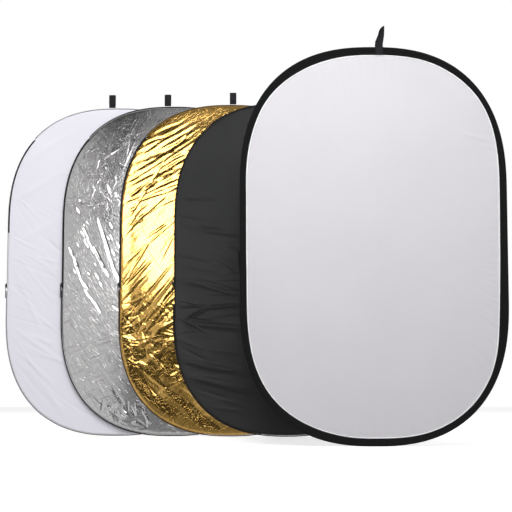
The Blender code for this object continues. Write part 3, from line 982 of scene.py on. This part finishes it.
# Folds in the visible part of a cloth, as ((x, height) start, end, width, height of the fold)
BLACK_FOLDS = (
    ((-0.268, 0.312), (-0.214, 0.347), 4 * MM, 2.4 * MM),
    ((-0.222, 0.345), (-0.120, 0.356), 4 * MM, 2.2 * MM),
    ((-0.280, 0.306), (-0.100, 0.290), 7 * MM, 2.0 * MM),
    ((-0.290, 0.205), (-0.090, 0.165), 7 * MM, 2.2 * MM),
    ((-0.290, 0.165), (-0.060, 0.120), 8 * MM, 2.2 * MM),
    ((-0.280, 0.420), (-0.120, 0.400), 10 * MM, 1.4 * MM),
)
WHITE_FOLDS = (
    ((-0.290, 0.800), (-0.060, 0.910), 5 * MM, 2.0 * MM),
    ((-0.310, 0.720), (-0.120, 0.850), 7 * MM, 1.6 * MM),
    ((-0.300, 0.640), (-0.140, 0.740), 7 * MM, 1.4 * MM),
    ((-0.295, 0.520), (-0.160, 0.600), 8 * MM, 1.2 * MM),
    ((-0.290, 0.300), (-0.130, 0.190), 6 * MM, 1.7 * MM),
    ((-0.290, 0.250), (-0.170, 0.140), 6 * MM, 1.8 * MM),
)
RELIEFS = {
    "black_nylon": lambda seed: nylon_relief(seed, BLACK_FOLDS, 40, -12),
    "white_nylon": lambda seed: nylon_relief(seed, WHITE_FOLDS, 90, -38),
    "gold_foil": gold_relief,
    "silver_foil": silver_relief,
}


# ---------------------------------------------------------------- studio


def add_floor():
    shape = bmesh.new()
    bmesh.ops.create_grid(shape, x_segments=1, y_segments=1, size=1)
    mesh = bpy.data.meshes.new("floor")
    shape.to_mesh(mesh)
    shape.free()
    graph = Graph("pale floor", (0.88, 0.88, 0.88), 0.9, Emission_Color=(1, 1, 1, 1), Emission_Strength=0.6)
    graph.bump(graph.noise(graph.place, 80.0, 4.0), 0.3 * MM, 0.2)
    mesh.materials.append(graph.material)
    floor = linked("floor", mesh)
    floor.scale = (6, 6, 1)
    floor.visible_glossy = False
    floor.visible_diffuse = False


def add_area(name, location, target, size, power, spread=180):
    """A soft lamp that lights the cloth and doesn't show, even in the foil."""
    data = bpy.data.lights.new(name, "AREA")
    data.shape = "RECTANGLE"
    data.spread = math.radians(spread)
    data.size, data.size_y = size
    data.energy = power
    lamp = linked(name, data)
    lamp.location = location
    lamp.rotation_euler = (Vector(target) - Vector(location)).to_track_quat("-Z", "Y").to_euler()
    lamp.visible_camera = False
    lamp.visible_glossy = False


# The room, as (brightness, sideways span, upward span). Sideways is how far a direction points to the
# side for each metre towards or away, and upward its own height. A span is (low, high, how far it fades
# out beyond them), and what several spans cover is as bright as all of them together.
ROOM = (
    (5.2, (-0.110, 0.50, 0.012), (0.096, 0.202, 0.024)),  # wide low window
    (0.50, (-0.42, -0.132, 0.010), (-0.05, 0.125, 0.03)),  # grey wall left of it
    (0.44, (-0.42, -0.174, 0.030), (0.155, 0.240, 0.03)),  # top of that wall
    (0.20, (-0.100, 0.6, 0.012), (0.20, 0.34, 0.04)),  # dim wall over the window
    (0.14, (-0.110, 0.6, 0.012), (-0.05, -0.008, 0.015)),  # foot of the wall under the window
    (0.48, (-0.42, 0.6, 0.05), (-0.28, -0.075, 0.025)),  # low pale front
)
DIMMEST = 0.038
CEILING = (0.25, (0.46, 2, 0.06))  # brightness and upward span, all round
GROUND = (0.30, (-2, -0.34, 0.08))
SIDES = (0.55, (1.0, 1e5, 0.3), (-0.55, -0.06, 0.06))  # the same on the left and the right


def room_light(nodes):
    """How bright the room is each way."""

    def edge(value, start, end):
        ends = {0: value, 1: start, 2: end}
        return nodes.node("MapRange", ends, interpolation_type="SMOOTHSTEP").outputs[0]

    def within(value, span):
        low, high, soft = span
        return nodes.math("MULTIPLY", edge(value, low - soft, low), edge(value, high + soft, high))

    direction = nodes.node("TexCoord").outputs["Generated"]
    x, y, up = nodes.node("SeparateXYZ", {0: direction}).outputs
    sideways = nodes.math("DIVIDE", x, nodes.math("ABSOLUTE", y))
    either_side = nodes.math("ABSOLUTE", sideways)
    parts = [(brightness, within(sideways, wide), within(up, tall)) for brightness, wide, tall in ROOM]
    parts += [(brightness, within(up, tall)) for brightness, tall in (CEILING, GROUND)]
    brightness, wide, tall = SIDES
    parts.append((brightness, within(either_side, wide), within(up, tall)))
    total = DIMMEST
    for light, *masks in parts:
        for mask in masks:
            light = nodes.math("MULTIPLY", light, mask)
        total = nodes.math("ADD", total, light)
    return total


def add_world():
    """A white backdrop to the eye, and the room to everything else."""
    world = bpy.data.worlds.new("studio")
    bpy.context.scene.world = world
    world.use_nodes = True
    world.node_tree.nodes.clear()
    nodes = Nodes(world.node_tree)
    backdrop = nodes.node("Background", {"Color": (1, 1, 1, 1)}).outputs[0]
    room = nodes.node("Background", {"Color": room_light(nodes)}).outputs[0]
    seen = nodes.node("LightPath").outputs["Is Camera Ray"]
    either = nodes.node("MixShader", {0: seen, 1: room, 2: backdrop}).outputs[0]
    nodes.node("OutputWorld", {"Surface": either})


def add_camera():
    """Low in front of the front disc and to its left, tilted up a little."""
    data = bpy.data.cameras.new("camera")
    data.lens = 75.97
    data.shift_y = 0.10
    camera = linked("camera", data)
    front = DISCS["diffuser"]
    camera.location = (front.x - 0.2633, front.y - 2.4, 0.1193)
    camera.rotation_euler = (math.radians(90 + 4.5), 0, 0)
    bpy.context.scene.camera = camera


def add_lights():
    add_area("key", (0.3, -2.0, 2.5), (0.1, 0, 0.5), (1.4, 1.0), 42)
    add_area("front", (0.0, -2.6, 1.6), (0.05, 0, 0.75), (0.8, 0.6), 3.6, spread=62)
    add_area("side", (-2.6, -0.7, 1.5), (-0.3, 0.2, 0.5), (0.8, 1.6), 11)
    add_area("back", (0.3, 2.6, 2.4), (0, 0.2, 0.5), (2.0, 1.4), 30)


# ---------------------------------------------------------------- the row

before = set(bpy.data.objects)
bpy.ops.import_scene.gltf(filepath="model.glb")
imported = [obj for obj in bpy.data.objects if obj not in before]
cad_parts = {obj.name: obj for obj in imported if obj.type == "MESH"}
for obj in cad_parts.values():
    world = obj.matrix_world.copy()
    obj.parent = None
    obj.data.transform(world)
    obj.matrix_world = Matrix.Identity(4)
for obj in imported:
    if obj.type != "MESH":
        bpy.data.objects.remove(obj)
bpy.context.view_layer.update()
core_low, core_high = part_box("black_core_binding")
RIM = Rim((core_high.x - core_low.x) / 2, (core_high.z - core_low.z) / 2)


def disc_centre(*nodes):
    """The middle of the box round some CAD nodes."""
    boxes = [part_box(node) for node in nodes]
    low = [min(box[0][axis] for box in boxes) for axis in range(3)]
    high = [max(box[1][axis] for box in boxes) for axis in range(3)]
    return Vector([(a + b) / 2 for a, b in zip(low, high)])


DISCS = {name: disc_centre(f"{name}_core_binding") for name in COVERS}
DISCS["diffuser"] = disc_centre("diffuser_binding_lower", "diffuser_binding_upper")
FOLD_HEIGHT = DISCS["diffuser"].z

add_camera()
add_world()
add_lights()
add_floor()
finishes = make_materials()
front_disc(DISCS["diffuser"], finishes)
hang_loop("front_loop", "diffuser_hang_loop", "diffuser_loop", finishes["webbing"], 64, 6.5 * MM, -0.5 * MM)
loop_tail(finishes["webbing"])
for name, cover in COVERS.items():
    covered_disc(name, cover, DISCS[name], finishes)
bpy.context.scene.view_settings.view_transform = "Standard"
